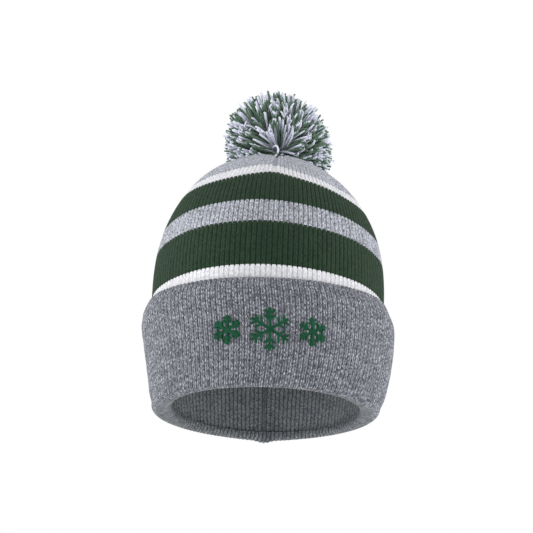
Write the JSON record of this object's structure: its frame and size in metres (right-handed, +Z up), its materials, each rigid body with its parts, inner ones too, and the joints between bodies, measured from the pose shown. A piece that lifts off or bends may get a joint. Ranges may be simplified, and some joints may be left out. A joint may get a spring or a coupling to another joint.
{
  "type": "pom pom beanie",
  "caption": "Knitted winter beanie with a striped crown closed by four darts, a wide turned-up cuff with an embroidered motif, and a yarn pom on top.",
  "frame": {"origin": "middle of the rim, on the plane that the turned-up rim rests on", "axes": "+Z up the hat towards the pom, -Y towards the wearer's face (the embroidered front), +X to the right of someone looking at the embroidered front"},
  "size_m": [0.1924, 0.2316, 0.264],
  "materials": {
    "cuff_knit": "matte knitted or spun acrylic yarn",
    "grey_knit": "matte knitted or spun acrylic yarn",
    "white_knit": "matte knitted or spun acrylic yarn",
    "green_knit": "matte knitted or spun acrylic yarn",
    "cap_knit": "matte knitted or spun acrylic yarn",
    "lining_knit": "matte knitted or spun acrylic yarn",
    "pom_yarn": "matte knitted or spun acrylic yarn",
    "tie_yarn": "matte knitted or spun acrylic yarn",
    "seam_thread": "matte knitted or spun acrylic yarn",
    "embroidery_thread": "matte knitted or spun acrylic yarn",
    "backing_cloth": "matte knitted or spun acrylic yarn"
  },
  "bodies": {
    "hat": {"under_cuff_wall": "lining_knit", "lower_white_stripe": "white_knit", "lower_green_stripe": "green_knit", "middle_grey_band": "grey_knit", "upper_green_stripe": "green_knit", "upper_white_stripe": "white_knit", "crown_cap": "cap_knit", "dart_seams": "seam_thread", "back_seam": "seam_thread", "inside_knot": "tie_yarn", "tie_cord": "tie_yarn"},
    "turned_up_cuff": {"rim_fold": "cuff_knit", "cuff": "cuff_knit", "snowflake_embroidery": "embroidery_thread", "embroidery_backing": "backing_cloth"},
    "tie": {"tie_knot": "tie_yarn"},
    "binding": {"pom_binding": "tie_yarn"},
    "pom": {"pom_yarn": "pom_yarn"}
  },
  "joints": [
    {"name": "cuff_turn_down", "type": "slide", "parent": "hat", "child": "turned_up_cuff", "axis": [0, 0, 1], "range_m": [-0.062, 0]},
    {"name": "pom_nod", "type": "hinge", "parent": "hat", "child": "tie", "pos_m": [0.00518, 0.0092, 0.2015], "axis": [1, 0, 0], "range_deg": [-12, 12], "stiffness_Nm_per_rad": 0.12},
    {"name": "pom_sway", "type": "hinge", "parent": "tie", "child": "binding", "pos_m": [0.00518, 0.0092, 0.2015], "axis": [0, 1, 0], "range_deg": [-12, 12], "stiffness_Nm_per_rad": 0.12},
    {"name": "pom_twist", "type": "hinge", "parent": "binding", "child": "pom", "pos_m": [0.00518, 0.0092, 0.2015], "axis": [0, 0, 1], "range_deg": [-60, 60], "stiffness_Nm_per_rad": 0.01}
  ]
}
